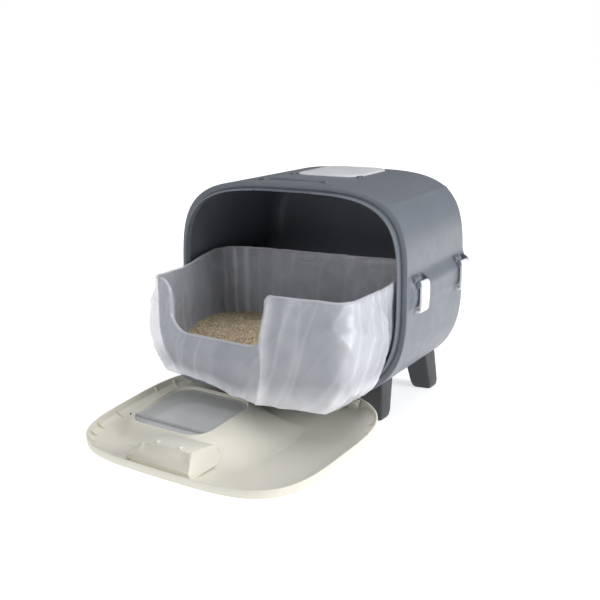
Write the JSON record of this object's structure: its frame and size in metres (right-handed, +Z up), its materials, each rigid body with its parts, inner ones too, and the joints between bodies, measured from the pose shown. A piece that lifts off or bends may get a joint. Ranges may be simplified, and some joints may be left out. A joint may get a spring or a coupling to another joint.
{
  "type": "hooded cat litter box",
  "caption": "Hooded cat litter box on four legs with a pull-out lined tray, side clips, a top filter cover and a detached front door with a flap.",
  "frame": {"origin": "floor level, under the middle of the whole laid-out set (box, drawn-out tray and door on the floor)", "axes": "+X right seen from the entry side, +Y to the back of the box, +Z up"},
  "size_m": [0.5552, 0.844, 0.492],
  "materials": {
    "shell_plastic": "semi-gloss moulded, blue grey",
    "leg_plastic": "satin charcoal",
    "steel": "zinc plated",
    "rubber_pad": "matt",
    "inner_plastic": "matt moulded",
    "clip_white": "glossy white",
    "cover_clear": "milky translucent",
    "filter_foam": "open foam",
    "tray_plastic": "satin moulded",
    "liner_film": "milky glossy film",
    "litter_grain": "loose granules",
    "door_plastic": "cream, satin moulded",
    "flap_smoke": "smoke-grey clear",
    "pin_plastic": "dark grey"
  },
  "bodies": {
    "base": {"base_shell": "shell_plastic", "leg_front_left": "leg_plastic", "leg_front_right": "leg_plastic", "leg_rear_left": "leg_plastic", "leg_rear_right": "leg_plastic", "leg_screws": "steel", "foot_pads": "rubber_pad", "tray_rails": "inner_plastic"},
    "hood": {"hood_shell": "shell_plastic", "clip_lugs": "shell_plastic", "clip_pins": "steel", "filter_grille": "inner_plastic", "filter_pad": "filter_foam"},
    "filter_lid": {"filter_cover": "cover_clear"},
    "clip_fl": {"clip_front_left": "clip_white"},
    "clip_fr": {"clip_front_right": "clip_white"},
    "clip_rl": {"clip_rear_left": "clip_white"},
    "clip_rr": {"clip_rear_right": "clip_white"},
    "tray": {"tray": "tray_plastic", "liner": "liner_film", "litter": "litter_grain"},
    "door": {"front_door": "door_plastic", "flap_tunnel": "door_plastic", "latch_housing": "door_plastic", "latch_spring": "steel", "flap_hinge_pins": "pin_plastic", "flap_lock_guide": "pin_plastic", "door_hooks": "door_plastic"},
    "flap": {"flap": "flap_smoke"},
    "lock": {"flap_lock": "clip_white"},
    "latch": {"door_latch": "door_plastic"}
  },
  "joints": [
    {"name": "tray_slide", "type": "slide", "parent": "base", "child": "tray", "axis": [0, 1, 0], "range_m": [-0.12, 0.212], "deforming": ["liner"]},
    {"name": "hood_lift", "type": "slide", "parent": "base", "child": "hood", "axis": [0, 0, 1], "range_m": [0, 0.25]},
    {"name": "filter_cover_lift", "type": "slide", "parent": "hood", "child": "filter_lid", "axis": [0, 0, 1], "range_m": [0, 0.06]},
    {"name": "clip_swing_fl", "type": "hinge", "parent": "hood", "child": "clip_fl", "pos_m": [-0.27214, 0.096, 0.301], "axis": [0, 1, 0], "range_deg": [0, 110]},
    {"name": "clip_swing_fr", "type": "hinge", "parent": "hood", "child": "clip_fr", "pos_m": [0.27214, 0.096, 0.301], "axis": [0, -1, 0], "range_deg": [0, 110]},
    {"name": "clip_swing_rl", "type": "hinge", "parent": "hood", "child": "clip_rl", "pos_m": [-0.26099, 0.351, 0.301], "axis": [0, 1, 0], "range_deg": [0, 110]},
    {"name": "clip_swing_rr", "type": "hinge", "parent": "hood", "child": "clip_rr", "pos_m": [0.26099, 0.351, 0.301], "axis": [0, -1, 0], "range_deg": [0, 110]},
    {"name": "door_pull_off", "type": "slide", "parent": "base", "child": "door", "axis": [0, -1, 0], "range_m": [0, 0.25]},
    {"name": "flap_swing", "type": "hinge", "parent": "door", "child": "flap", "pos_m": [-0.1116, -0.23697, 0.0429], "axis": [0.9905, -0.1345, -0.0293], "range_deg": [0, 9]},
    {"name": "flap_lock_slide", "type": "slide", "parent": "door", "child": "lock", "axis": [-0.9905, 0.1345, 0.0293], "range_m": [0, 0.024]},
    {"name": "latch_press", "type": "slide", "parent": "door", "child": "latch", "axis": [0.1375, 0.9781, 0.1564], "range_m": [0, 0.006], "stiffness_N_per_m": 400, "deforming": ["latch_spring"]}
  ]
}
